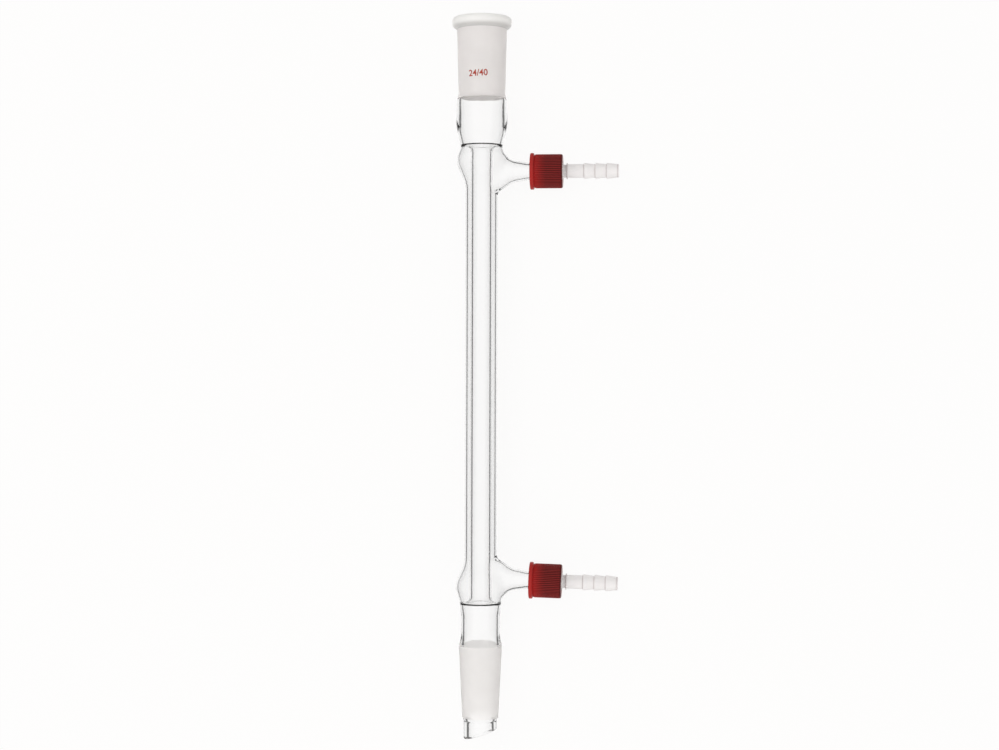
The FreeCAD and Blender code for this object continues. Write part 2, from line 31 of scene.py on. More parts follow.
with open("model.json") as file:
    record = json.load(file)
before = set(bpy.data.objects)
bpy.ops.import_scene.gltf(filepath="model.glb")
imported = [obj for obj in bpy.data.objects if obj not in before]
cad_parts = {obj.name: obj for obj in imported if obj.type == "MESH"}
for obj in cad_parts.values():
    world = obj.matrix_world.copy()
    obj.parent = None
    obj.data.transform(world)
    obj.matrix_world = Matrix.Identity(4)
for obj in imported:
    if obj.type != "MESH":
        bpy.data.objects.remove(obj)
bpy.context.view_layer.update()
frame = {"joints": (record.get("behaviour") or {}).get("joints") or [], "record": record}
mounts = {mount["name"]: mount for mount in frame["record"]["mounts"]}
joints = {joint["name"]: joint for joint in frame["joints"]}


# Places

socketHeadHeight = 397.2
capEnd = 45.1


def layOut(origin, forward, upward):
    sideways = upward.cross(forward).normalized()
    turn = Matrix((forward, sideways, forward.cross(sideways))).transposed().to_4x4()
    return Matrix.Translation(origin) @ turn @ Matrix.Scale(0.001, 4)


upward = Vector(mounts["upper_ground_socket"]["axis"]).normalized()
forward = Vector(joints["upper_cap_turn"]["axis"]).normalized()
glassOrigin = Vector(mounts["upper_ground_socket"]["pos_m"]) - upward * socketHeadHeight / 1000
glassPlace = layOut(glassOrigin, forward, upward)
armPlaces = {}
for arm in ("upper", "lower"):
    turn = joints[f"{arm}_cap_turn"]
    axis = Vector(turn["axis"]).normalized()
    armPlaces[arm] = layOut(Vector(turn["pos_m"]) - axis * capEnd / 1000, axis, upward)


# Mesh helpers

def newPiece(name, bm, place, materials, body):
    drawn = bm.verts.layers.float_vector.new("drawn")  # patterns follow the drawing, in millimetres
    for vert in bm.verts:
        vert[drawn] = vert.co
        vert.co = place @ vert.co
    bmesh.ops.recalc_face_normals(bm, faces=bm.faces)
    mesh = bpy.data.meshes.new(name)
    for face in bm.faces:
        face.smooth = True
    bm.to_mesh(mesh)
    bm.free()
    piece = bpy.data.objects.new(name, mesh)
    bpy.context.scene.collection.objects.link(piece)
    for material in materials:
        mesh.materials.append(material)
    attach(piece, body)
    return piece


# Corners are (across, along) or (across, along, rounding)
def drawChain(bm, corners, closed=False, segmentAngle=12.0):
    verts = [bm.verts.new((corner[0], 0, corner[1])) for corner in corners]
    following = verts[1:] + verts[:1] if closed else verts[1:]
    for first, second in zip(verts, following):
        bm.edges.new((first, second))
    ends = (verts[0], verts[-1])
    for i, corner in enumerate(corners):
        if len(corner) == 3 and (closed or 0 < i < len(corners) - 1):
            last, coming = corners[i - 1], corners[(i + 1) % len(corners)]
            before = verts[i].co - Vector((last[0], 0, last[1]))
            after = Vector((coming[0], 0, coming[1])) - verts[i].co
            bend = before.angle(after)
            segments = max(2, round(math.degrees(bend) / segmentAngle))
            bmesh.ops.bevel(
                bm, geom=[verts[i]], affect="VERTICES", offset_type="OFFSET", profile=0.5, material=-1,
                offset=corner[2] * math.tan(bend / 2), segments=segments,
            )
    return ends


def splitLongEdges(bm, longest, low, high):
    for edge in list(bm.edges):
        heights = [vert.co.z for vert in edge.verts]
        if min(heights) < high and max(heights) > low and edge.calc_length() > longest:
            cuts = math.ceil(edge.calc_length() / longest) - 1
            bmesh.ops.subdivide_edges(bm, edges=[edge], cuts=cuts)


def spinRound(bm, axis, steps):
    bmesh.ops.spin(
        bm, geom=bm.verts[:] + bm.edges[:], cent=(0, 0, 0), axis=axis,
        angle=2 * math.pi, steps=steps, use_merge=True,
    )


def smoothStep(low, high, value):
    share = min(1.0, max(0.0, (value - low) / (high - low)))
    return share * share * (3 - 2 * share)


# Catmull-Rom curve through (place, value, value, ...) knots
def smoothCurve(knots, at):
    if at <= knots[0][0]:
        return knots[0][1:]
    if at >= knots[-1][0]:
        return knots[-1][1:]
    i = max(k for k in range(len(knots) - 1) if knots[k][0] <= at)
    near, far = knots[i], knots[i + 1]
    before = knots[i - 1] if i > 0 else near
    after = knots[i + 2] if i + 2 < len(knots) else far
    width = far[0] - near[0]
    share = (at - near[0]) / width
    values = []
    for part in range(1, len(near)):
        startSlope = (far[part] - before[part]) / (far[0] - before[0]) * width
        endSlope = (after[part] - near[part]) / (after[0] - near[0]) * width
        values.append(
            near[part] * (2 * share ** 3 - 3 * share ** 2 + 1)
            + startSlope * (share ** 3 - 2 * share ** 2 + share)
            + far[part] * (3 * share ** 2 - 2 * share ** 3)
            + endSlope * (share ** 3 - share ** 2)
        )
    return tuple(values)


# Glass body

glass = {
    "outside": [
        (9.2, 0.0), (9.2, 10.8, 0.5), (10.0, 12.2, 0.5), (12.0, 52.2, 0.5), (10.75, 57.7, 8),
        (10.75, 68.4, 8), (11.5, 76.4, 2), (14.6, 85.5, 9.5), (9.0, 97.0, 15), (9.0, 107.0), (9.0, 297.0),
        (9.0, 308.2, 15), (14.6, 321.8, 9.5), (11.5, 328.9, 2), (14.45, 341.9, 22), (13.75, 355.4, 2),
        (12.95, 358.0, 2), (13.85, 394.4, 0.8), (16.3, 395.6, 2.4), (16.75, 399.2, 2.0), (15.6, 400.6),
    ],
    "vapourPath": [
        (13.2, 400.6), (12.0, 397.2, 0.5), (10.0, 357.2, 0.5), (11.8, 355.4, 1.2), (11.5, 348.0, 12),
        (12.0, 338.5, 9),
        (10.1, 330.1, 0.6), (4.7, 328.3, 4), (4.7, 297.0), (4.7, 107.0), (4.7, 77.0, 4), (10.1, 75.2, 0.6),
        (9.05, 68.4, 8), (9.05, 57.7, 8), (9.45, 52.2, 8), (7.6, 13.2, 2), (6.4, 9.7, 2), (6.4, 0.0),
    ],
    "waterSpace": [
        (6.0, 77.5, 2.7), (10.35, 75.8, 0.3), (13.2, 85.5, 8.1), (7.7, 97.0, 16.3), (7.7, 107.0),
        (7.7, 297.0), (7.7, 308.2, 16.3), (13.2, 321.8, 8.1), (10.35, 329.5, 0.3), (6.0, 327.8, 2.7),
        (6.0, 297.0), (6.0, 107.0),
    ],
    "steps": 128,
    "rowHeight": 1.35,
    "tipRounding": 1.1,
    "tipSlant": 17.5,
    "tipRadius": 9.2,
    "tipSlantEnd": 9.5,
    "rimRounding": 1.3,
    "mouthRounding": 0.9,
    "armHeights": {"upper": 315.2, "lower": 89.4},
    "armReach": {"upper": (-15.2, 12.6), "lower": (-12.0, 15.2)},
    "waterReach": {"upper": (-14.2, 11.2), "lower": (-11.0, 14.2)},
    "patchSteps": 21,
    "outsideBlend": 1.8,
    "waterBlend": 1.6,
    "armJoin": 19.0,
    "joinRings": 16,
    "armOutside": [
        (9.5, 8.05, 10.95), (12.8, 7.3, 8.9), (15.6, 6.4, 7.0), (19.0, 5.75, 5.75), (22.5, 5.2, 5.2),
    ],
    "armBore": [(9.5, 6.4, 9.6), (12.8, 6.1, 7.7), (15.6, 5.2, 5.8), (19.0, 4.55, 4.55), (22.5, 4.0, 4.0)],
    "stem": [
        (20.6, 5.5), (22.2, 5.25), (23.8, 4.95), (25.0, 4.73), (26.0, 4.62), (27.0, 4.72), (28.2, 5.2),
        (29.2, 5.8), (30.0, 6.2),
    ],
    "threadStart": 30.3,
    "threadEnd": 38.5,
    "threadRows": 27,
    "threadRoot": 6.3,
    "threadCrest": 6.95,
    "threadPitch": 2.5,
    "stemRim": [
        (38.75, 6.2), (38.98, 5.95), (39.1, 5.6), (39.1, 5.1), (38.98, 4.6), (38.6, 4.3), (38.0, 4.2),
        (36.5, 4.2), (35.0, 4.2),
    ],
    "stemBore": [
        (20.5, 4.32), (22.0, 4.07), (23.4, 3.8), (24.8, 3.55), (26.0, 3.42), (27.4, 3.5), (28.8, 3.8),
        (30.2, 4.1), (31.5, 4.2),
    ],
    "groundTop": 397.2,
    "shoulderFoot": 355.3,
    "wallFoot": 356.2,
    "beadFoot": 393.6,
    "coneZone": (12.2, 52.2),
}


# Height of a right-handed thread over its root, fading in and out at its ends
def addThread(place, angle, crest, root, start, end, shift=0.0):
    phase = (place / glass["threadPitch"] - angle / (2 * math.pi) + shift) % 1.0
    ridge = smoothStep(0.14, 0.32, phase) - smoothStep(0.68, 0.86, phase)
    fade = smoothStep(start - 0.1, start + 1.1, place) * (1 - smoothStep(end - 1.1, end + 0.1, place))
    return root + (crest - root) * ridge * fade


def radiusAt(rows, height):
    for low, high in zip(rows, rows[1:]):
        if low[0] <= height <= high[0]:
            share = (height - low[0]) / max(1e-9, high[0] - low[0])
            radius = low[1] + (high[1] - low[1]) * share
            slope = (high[1] - low[1]) / max(1e-9, high[0] - low[0])
            return radius, slope
    return (rows[0][1], 0.0) if height < rows[0][0] else (rows[-1][1], 0.0)


# Distance outside the bulb and the arm together, with the corner between them filled
def joinField(point, toGlass, rows, sections, blend):
    upright = toGlass @ point
    radius, slope = radiusAt(rows, upright.z)
    bulb = (math.hypot(upright.x, upright.y) - radius) / math.hypot(1, slope)
    across, along = smoothCurve(sections, point.x)
    around = math.hypot(point.y / across, point.z / along)
    tube = (around - 1) * min(across, along)
    overlap = max(0.0, blend - abs(bulb - tube)) / blend
    return min(bulb, tube) - overlap * overlap * blend / 4


# Deletes the faces where an arm meets a shell and returns the edges of the hole
def openPatch(bm, height, reach, innerRadius, outerRadius):
    columns = glass["patchSteps"] * 2 * math.pi / glass["steps"]
    found = []
    for face in bm.faces:
        middle = face.calc_center_median()
        if not height + reach[0] < middle.z < height + reach[1]:
            continue
        if abs(math.atan2(middle.y, middle.x)) > columns:
            continue
        if innerRadius(middle.z) < math.hypot(middle.x, middle.y) < outerRadius(middle.z):
            found.append(face)
    patch = set(found)
    border = [edge for edge in bm.edges if sum(face in patch for face in edge.link_faces) == 1]
    bmesh.ops.delete(bm, geom=found, context="FACES")
    return border


# Places of the corners round a hole, one after the other
def inOrder(border):
    places = []
    edges = set(border)
    vert = border[0].verts[0]
    while edges:
        edge = next(edge for edge in vert.link_edges if edge in edges)
        edges.remove(edge)
        places.append(vert.co.copy())
        vert = edge.other_vert(vert)
    return places


def closeRing(bm, places):
    ring = [bm.verts.new(place) for place in places]
    for first, second in zip(ring, ring[1:] + ring[:1]):
        bm.edges.new((first, second))
    return ring


def ringEdges(bm, ring):
    return [bm.edges.get(pair) for pair in zip(ring, ring[1:] + ring[:1])]


# Extrudes an ordered ring of vertices once and moves the new ring to its places
def extrudeRing(bm, ring, places):
    made = bmesh.ops.extrude_edge_only(bm, edges=ringEdges(bm, ring))
    new = {item for item in made["geom"] if isinstance(item, bmesh.types.BMVert)}
    following = []
    for vert, place in zip(ring, places):
        mate = next(edge.other_vert(vert) for edge in vert.link_edges if edge.other_vert(vert) in new)
        mate.co = place
        following.append(mate)
    return following


# Rings that leave a hole in the bulb and sweep round into the arm
def growJoin(bm, ring, toGlass, rows, sections, blend):
    toArm = toGlass.inverted()
    starts = [toArm @ vert.co for vert in ring]
    rings = glass["joinRings"]
    for k in range(1, rings + 1):
        turn = math.pi / 2 * k / rings
        places = []
        for start in starts:
            away = math.hypot(start.y, start.z)
            sideways = Vector((0, start.y / away, start.z / away))
            pivot = Vector((glass["armJoin"], 0, 0)) + sideways * away
            ray = Vector((-math.cos(turn), 0, 0)) - sideways * math.sin(turn)
            reach = 0.0
            for _ in range(60):
                gap = joinField(pivot + ray * reach, toGlass, rows, sections, blend)
                reach += gap * 0.85
                if abs(gap) < 0.0005:
                    break
            places.append(toGlass @ (pivot + ray * reach))
        ring = extrudeRing(bm, ring, places)
    return ring


# Round rings along the arm, each a place and a radius or a function of the angle
def growStem(bm, ring, toGlass, rows):
    toArm = toGlass.inverted()
    angles = []
    for vert in ring:
        point = toArm @ vert.co
        angles.append(math.atan2(point.z, point.y))
    for place, radius in rows:
        places = []
        for angle in angles:
            size = radius(angle) if callable(radius) else radius
            places.append(toGlass @ Vector((place, size * math.cos(angle), size * math.sin(angle))))
        ring = extrudeRing(bm, ring, places)
    return ring


def rowsOf(corners, low, high):
    bm = bmesh.new()
    drawChain(bm, corners, segmentAngle=4.0)
    splitLongEdges(bm, glass["rowHeight"], low, high)
    rows = sorted((vert.co.z, vert.co.x) for vert in bm.verts if low - 8 < vert.co.z < high + 8)
    bm.free()
    return rows


# Opens the two shells of a bulb and grows the side arm from them, thread and rim included
def growArm(bm, arm):
    height = glass["armHeights"][arm]
    toGlass = glassPlace.inverted() @ armPlaces[arm]
    outsideRows = rowsOf(glass["outside"], height - 22, height + 22)
    waterRows = rowsOf(glass["waterSpace"][1:-3], height - 22, height + 22)
    outsideHole = inOrder(openPatch(
        bm, height, glass["armReach"][arm],
        lambda z: radiusAt(outsideRows, z)[0] - 0.6, lambda z: 99.0,
    ))
    waterHole = inOrder(openPatch(
        bm, height, glass["waterReach"][arm],
        lambda z: 6.9, lambda z: radiusAt(waterRows, z)[0] + 0.5,
    ))
    grown = bmesh.new()
    outer = closeRing(grown, outsideHole)
    inner = closeRing(grown, waterHole)
    outer = growJoin(grown, outer, toGlass, outsideRows, glass["armOutside"], glass["outsideBlend"])
    inner = growJoin(grown, inner, toGlass, waterRows, glass["armBore"], glass["waterBlend"])
    start, end = glass["threadStart"], glass["threadEnd"]
    stemRows = list(glass["stem"])
    for k in range(glass["threadRows"] + 1):
        place = start + (end - start) * k / glass["threadRows"]
        stemRows.append((place, lambda angle, place=place: addThread(
            place, angle, glass["threadCrest"], glass["threadRoot"], start, end)))
    outer = growStem(grown, outer, toGlass, stemRows + glass["stemRim"])
    inner = growStem(grown, inner, toGlass, glass["stemBore"])
    bmesh.ops.bridge_loops(grown, edges=ringEdges(grown, outer) + ringEdges(grown, inner))
    mesh = bpy.data.meshes.new("arm")
    grown.to_mesh(mesh)
    grown.free()
    bm.from_mesh(mesh)
    bpy.data.meshes.remove(mesh)


def makeGlass(materials):
    bm = bmesh.new()
    outsideEnds = drawChain(bm, glass["outside"], segmentAngle=4.0)
    vapourEnds = drawChain(bm, glass["vapourPath"], segmentAngle=6.0)
    bm.edges.new((outsideEnds[1], vapourEnds[0]))
    bm.edges.new((outsideEnds[0], vapourEnds[1]))
    for vert, rounding in (
        (outsideEnds[0], glass["tipRounding"]), (vapourEnds[1], glass["tipRounding"]),
        (outsideEnds[1], glass["rimRounding"]), (vapourEnds[0], glass["mouthRounding"]),
    ):
        sides = [edge.other_vert(vert).co - vert.co for edge in vert.link_edges]
        bend = math.pi - sides[0].angle(sides[1])
        bmesh.ops.bevel(
            bm, geom=[vert], affect="VERTICES", offset_type="OFFSET", profile=0.5, material=-1,
            offset=rounding * math.tan(bend / 2), segments=8,
        )
    drawChain(bm, glass["waterSpace"], closed=True, segmentAngle=4.0)
    for arm, height in glass["armHeights"].items():
        reach = glass["armReach"][arm]
        splitLongEdges(bm, glass["rowHeight"], height + reach[0] - 1, height + reach[1] + 1)
    splitLongEdges(bm, 10.0, 0, 400)
    spinRound(bm, (0, 0, 1), glass["steps"])
    slant = math.tan(math.radians(glass["tipSlant"]))
    for vert in bm.verts:
        if vert.co.z < glass["tipSlantEnd"]:
            lift = (vert.co.x + glass["tipRadius"]) * slant
            vert.co.z += lift * (1 - vert.co.z / glass["tipSlantEnd"])
    for arm in glass["armHeights"]:
        growArm(bm, arm)
    bmesh.ops.remove_doubles(bm, verts=bm.verts, dist=1e-4)

    groundTop = glass["groundTop"]
    coneLow, coneHigh = glass["coneZone"]
    for face in bm.faces:
        middle = face.calc_center_median()
        radius = math.hypot(middle.x, middle.y)
        if glass["shoulderFoot"] < middle.z < groundTop and radius < 12.2:
            face.material_index = 1
        if glass["wallFoot"] < middle.z < glass["beadFoot"] and radius > 12.6:
            face.material_index = 4
        if coneLow < middle.z < coneHigh and radius > 9.7:
            face.material_index = 2
        if middle.z > glass["beadFoot"] and (radius > 13.4 or middle.z > groundTop):
            face.material_index = 3
    piece = newPiece("condenser_glass", bm, glassPlace, materials, "glass")
    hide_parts("glass_body")
    return piece


# Screw caps, drawn along +X as their arm runs from the condenser's axis

cap = {
    "outline": [
        (8.4, 27.2, 0.3), (10.15, 27.2, 0.45), (10.15, 29.2, 0.6), (9.1, 29.35, 0.25), (9.1, 45.1, 0.4),
        (4.85, 45.1, 0.35), (4.85, 43.1, 0.1), (7.25, 43.1, 0.2), (7.25, 28.4, 0.1),
    ],
    "ribs": 56,
    "columns": 6,
    "ribHeight": 0.3,
    "ribStart": 29.9,
    "ribEnd": 44.75,
    "threadStart": 29.5,
    "threadEnd": 37.5,
    "threadRoot": 7.25,
    "threadCrest": 6.6,
    "rowLength": 0.42,
}


def drawCap():
    bm = bmesh.new()
    drawChain(bm, cap["outline"], closed=True, segmentAngle=15.0)
    for edge in list(bm.edges):
        longest = cap["rowLength"] if max(vert.co.x for vert in edge.verts) < 7.3 else 0.8
        if edge.calc_length() > longest:
            bmesh.ops.subdivide_edges(bm, edges=[edge], cuts=math.ceil(edge.calc_length() / longest) - 1)
    for vert in bm.verts:
        vert.co = Vector((vert.co.z, 0, vert.co.x))
    spinRound(bm, (1, 0, 0), cap["ribs"] * cap["columns"])
    bmesh.ops.remove_doubles(bm, verts=bm.verts, dist=1e-4)
    for vert in bm.verts:
        place = vert.co.x
        radius = math.hypot(vert.co.y, vert.co.z)
        angle = math.atan2(vert.co.z, vert.co.y)
        if radius > 8.8 and cap["ribStart"] - 0.4 < place < cap["ribEnd"] + 0.4:
            phase = ((angle - math.pi / 2) / (2 * math.pi) * cap["ribs"] + 0.5) % 1.0 - 0.5
            crest = 1 - smoothStep(0.12, 0.40, abs(phase))
            fade = smoothStep(cap["ribStart"] - 0.3, cap["ribStart"] + 0.3, place)
            fade *= 1 - smoothStep(cap["ribEnd"] - 0.3, cap["ribEnd"] + 0.3, place)
            grown = radius + cap["ribHeight"] * crest * fade
        elif abs(radius - 7.25) < 0.02 and cap["threadStart"] - 0.5 < place < cap["threadEnd"] + 0.5:
            grown = addThread(
                place, angle, cap["threadCrest"], cap["threadRoot"], cap["threadStart"], cap["threadEnd"],
                shift=0.5,
            )
        else:
            continue
        vert.co.y *= grown / radius
        vert.co.z *= grown / radius
    return bm


# Hose connectors and their seals

connector = {
    "outline": [
        (3.3, 36.1, 0.3), (3.3, 41.1, 0.15), (5.9, 41.1, 0.25), (5.9, 43.1, 0.25), (4.6, 43.1, 0.1),
        (4.6, 45.6, 0.3), (3.55, 45.6, 0.2), (3.55, 47.3, 0.2), (4.45, 47.3, 0.15), (4.45, 47.9, 0.15),
        (3.75, 47.9, 0.2), (3.75, 56.8, 0.1), (4.4, 57.15, 0.12), (3.65, 63.0, 0.1), (4.4, 63.35, 0.12),
        (3.65, 69.2, 0.1), (4.4, 69.55, 0.12), (3.65, 75.4, 0.3), (3.65, 76.1, 0.3), (2.4, 76.1, 0.2),
        (2.4, 36.1, 0.2),
    ],
    "steps": 96,
    "barbPitch": 6.2,
    "creaseStart": 56.55,
    "sealOutline": [(3.5, 39.1, 0.1), (6.0, 39.1, 0.25), (6.0, 41.1, 0.25), (3.5, 41.1, 0.1)],
}


def drawTurned(outline):
    bm = bmesh.new()
    drawChain(bm, outline, closed=True, segmentAngle=15.0)
    splitLongEdges(bm, 1.5, 0, 100)
    for vert in bm.verts:
        vert.co = Vector((vert.co.z, 0, vert.co.x))
    spinRound(bm, (1, 0, 0), connector["steps"])
    bmesh.ops.remove_doubles(bm, verts=bm.verts, dist=1e-4)
    return bm


# Joint size fired onto the socket

mark = {
    "text": "24/40",
    "height": 3.55,
    "width": 10.7,
    "angle": -9.0,
    "centre": 368.3,
    "tilt": 2.0,
    "thickness": 0.03,
    "boldness": 0.014,
    "longestEdge": 0.5,
    "zeroAngle": -85.0,
    "lift": 0.01,
    "wallFoot": (12.95, 358.0),
    "wallTop": (13.85, 394.5),
}


def makeMark(materials):
    curve = bpy.data.curves.new("size_mark_text", "FONT")
    curve.body = mark["text"]
    curve.align_x = "CENTER"
    curve.align_y = "CENTER"
    curve.offset = mark["boldness"]
    text = bpy.data.objects.new("size_mark_text", curve)
    bpy.context.scene.collection.objects.link(text)
    bpy.context.view_layer.update()
    mesh = bpy.data.meshes.new_from_object(text)
    bpy.data.objects.remove(text)
    bpy.data.curves.remove(curve)
    bm = bmesh.new()
    bm.from_mesh(mesh)
    bpy.data.meshes.remove(mesh)
    bmesh.ops.remove_doubles(bm, verts=bm.verts, dist=1e-5)
    bmesh.ops.triangulate(bm, faces=bm.faces)
    lows = [min(vert.co[i] for vert in bm.verts) for i in range(2)]
    highs = [max(vert.co[i] for vert in bm.verts) for i in range(2)]
    for vert in bm.verts:
        vert.co.x = (vert.co.x - (lows[0] + highs[0]) / 2) * mark["width"] / (highs[0] - lows[0])
        vert.co.y = (vert.co.y - (lows[1] + highs[1]) / 2) * mark["height"] / (highs[1] - lows[1])
    for _ in range(4):
        edges = [edge for edge in bm.edges if edge.calc_length() > mark["longestEdge"]]
        if edges:
            bmesh.ops.subdivide_edges(bm, edges=edges, cuts=1)
            bmesh.ops.triangulate(bm, faces=bm.faces)
    bmesh.ops.recalc_face_normals(bm, faces=bm.faces)
    bmesh.ops.solidify(bm, geom=bm.faces, thickness=mark["thickness"])
    tilt = math.radians(mark["tilt"])
    lowest = min(vert.co.z for vert in bm.verts)
    (footRadius, footHeight), (topRadius, topHeight) = mark["wallFoot"], mark["wallTop"]
    taper = (topRadius - footRadius) / (topHeight - footHeight)
    for vert in bm.verts:
        across = vert.co.x * math.cos(tilt) - vert.co.y * math.sin(tilt)
        height = mark["centre"] + vert.co.x * math.sin(tilt) + vert.co.y * math.cos(tilt)
        radius = footRadius + (height - footHeight) * taper + mark["lift"] + (vert.co.z - lowest)
        angle = math.radians(mark["zeroAngle"] + mark["angle"]) + across / radius
        vert.co = Vector((radius * math.cos(angle), radius * math.sin(angle), height))
    return newPiece("size_mark", bm, glassPlace, materials, "glass")


# Materials

def newMaterial(name):
    material = bpy.data.materials.new(name)
    material.use_nodes = True
    nodes = material.node_tree.nodes
    nodes.clear()
    return material, nodes, material.node_tree.links


def newGroup(name, inputs, outputs):
    group = bpy.data.node_groups.new(name, "ShaderNodeTree")
    for socket, value in inputs:
        kind = "NodeSocketVector" if value is None else "NodeSocketFloat"
        made = group.interface.new_socket(name=socket, in_out="INPUT", socket_type=kind)
        if value is not None:
            made.default_value = value
    for socket in outputs:
        group.interface.new_socket(name=socket, in_out="OUTPUT", socket_type="NodeSocketFloat")
    nodes = group.nodes
    return group, nodes, group.links, nodes.new("NodeGroupInput"), nodes.new("NodeGroupOutput")


def placeGroup(nodes, links, group, drawn, values):
    node = nodes.new("ShaderNodeGroup")
    node.node_tree = group
    links.new(drawn, node.inputs["Place"])
    for socket, value in values.items():
        node.inputs[socket].default_value = value
    return node


def drawnPlace(nodes):
    attribute = nodes.new("ShaderNodeAttribute")
    attribute.attribute_name = "drawn"
    return attribute.outputs["Vector"]


def doMath(nodes, links, operation, first, second):
    node = nodes.new("ShaderNodeMath")
    node.operation = operation
    for i, value in enumerate((first, second)):
        if isinstance(value, (int, float)):
            node.inputs[i].default_value = value
        else:
            links.new(value, node.inputs[i])
    return node.outputs[0]


def mapRange(nodes, links, value, low, high, start, end):
    node = nodes.new("ShaderNodeMapRange")
    node.interpolation_type = "SMOOTHSTEP"
    for socket, number in (("From Min", low), ("From Max", high), ("To Min", start), ("To Max", end)):
        node.inputs[socket].default_value = number
    links.new(value, node.inputs["Value"])
    return node.outputs["Result"]


def mixColours(nodes, links, share, first, second):
    node = nodes.new("ShaderNodeMix")
    node.data_type = "RGBA"
    links.new(share, node.inputs["Factor"])
    for socket, value in (("A", first), ("B", second)):
        target = next(item for item in node.inputs if item.name == socket and item.type == "RGBA")
        if isinstance(value, tuple):
            target.default_value = value
        else:
            links.new(value, target)
    return next(item for item in node.outputs if item.type == "RGBA")


def addBump(nodes, links, height, distance, strength, shader):
    bump = nodes.new("ShaderNodeBump")
    bump.inputs["Distance"].default_value = distance
    bump.inputs["Strength"].default_value = strength
    links.new(height, bump.inputs["Height"])
    links.new(bump.outputs["Normal"], shader.inputs["Normal"])
    return bump


def makeGrainGroup():
    group, nodes, links, inside, outside = newGroup(
        "fineGrain", [("Place", None), ("Grain Size", 0.3), ("Cloud Size", 8.0)], ["Grain", "Cloud"])
    for socket, source, detail in (("Grain", "Grain Size", 3.0), ("Cloud", "Cloud Size", 2.0)):
        noise = nodes.new("ShaderNodeTexNoise")
        noise.inputs["Detail"].default_value = detail
        links.new(inside.outputs["Place"], noise.inputs["Vector"])
        links.new(doMath(nodes, links, "DIVIDE", 1.0, inside.outputs[source]), noise.inputs["Scale"])
        links.new(noise.outputs["Fac"], outside.inputs[socket])
    return group


# Fine rings round the axis, as a grinding wheel or a lathe leaves them
def makeRingGroup():
    group, nodes, links, inside, outside = newGroup(
        "turningLines", [("Place", None), ("Spacing", 0.25), ("Drift", 0.15)], ["Lines"])
    split = nodes.new("ShaderNodeSeparateXYZ")
    links.new(inside.outputs["Place"], split.inputs[0])
    drift = nodes.new("ShaderNodeTexNoise")
    drift.inputs["Scale"].default_value = 0.4
    links.new(inside.outputs["Place"], drift.inputs["Vector"])
    moved = doMath(nodes, links, "MULTIPLY", drift.outputs["Fac"], inside.outputs["Drift"])
    height = doMath(nodes, links, "ADD", split.outputs["Z"], moved)
    scaled = doMath(nodes, links, "DIVIDE", height, inside.outputs["Spacing"])
    noise = nodes.new("ShaderNodeTexNoise")
    noise.noise_dimensions = "1D"
    noise.inputs["Scale"].default_value = 1.0
    noise.inputs["Detail"].default_value = 2.0
    links.new(scaled, noise.inputs["W"])
    links.new(noise.outputs["Fac"], outside.inputs["Lines"])
    return group


print("materials")
fineGrain = makeGrainGroup()
turningLines = makeRingGroup()


# Starts a Principled material; the sockets given are the same all over its surface
def startFinish(name, sockets):
    material, nodes, links = newMaterial(name)
    output = nodes.new("ShaderNodeOutputMaterial")
    shader = nodes.new("ShaderNodeBsdfPrincipled")
    shader.inputs["Metallic"].default_value = 0
    for socket, value in sockets.items():
        shader.inputs[socket].default_value = value
    links.new(shader.outputs[0], output.inputs["Surface"])
    return material, nodes, links, shader


def splitPlace(nodes, links, drawn):
    split = nodes.new("ShaderNodeSeparateXYZ")
    links.new(drawn, split.inputs[0])
    return split.outputs


# In each look, a range is (from, to, value there, value there) and a bump is (distance, strength)

clearLook = {
    "sockets": {
        "Base Color": (0.998, 0.998, 0.998, 1), "Transmission Weight": 1, "Roughness": 0.0, "IOR": 1.473,
        "Specular Tint": (0.4, 0.4, 0.4, 1),
    },
    "waves": {"Grain Size": 6.0, "Cloud Size": 14.0},
    "upperWork": (300.0, 325.0, 0.02, 1.0),
    "lowerWork": (60.0, 100.0, 0.4, 0.02),
    "bump": (0.0004, 0.18),
}


# Borosilicate glass, a little wavy where it was worked in the flame
def makeClearGlass():
    material, nodes, links, shader = startFinish("clear_glass", clearLook["sockets"])
    drawn = drawnPlace(nodes)
    waves = placeGroup(nodes, links, fineGrain, drawn, clearLook["waves"])
    height = splitPlace(nodes, links, drawn)["Z"]
    upperWork = mapRange(nodes, links, height, *clearLook["upperWork"])
    lowerWork = mapRange(nodes, links, height, *clearLook["lowerWork"])
    worked = doMath(nodes, links, "MAXIMUM", upperWork, lowerWork)
    ripple = doMath(nodes, links, "MULTIPLY", waves.outputs["Grain"], worked)
    addBump(nodes, links, ripple, *clearLook["bump"], shader)
    return material


groundLook = {
    "ior": 1.473,
    "grain": {"Grain Size": 0.35, "Cloud Size": 9.0},
    "ringDrift": 0.5,
    "cloudRange": (0.3, 0.7, 0.0, 1.0),
    "cloudShade": 0.955,
    "ringRange": (0.25, 0.75),
    "mattSpread": 0.05,
    "bump": (0.00003, 0.4),
    "zones": {  # colour, roughness, transmission and ring spacing
        "ground_socket": ((0.98, 0.955, 0.935, 1), 0.62, 0.25, 0.3),
        "socket_wall": ((1.0, 0.965, 0.95, 1), 0.4, 0.42, 0.6),
        "ground_cone": ((1.0, 0.975, 0.955, 1), 0.5, 0.6, 0.25),
    },
}


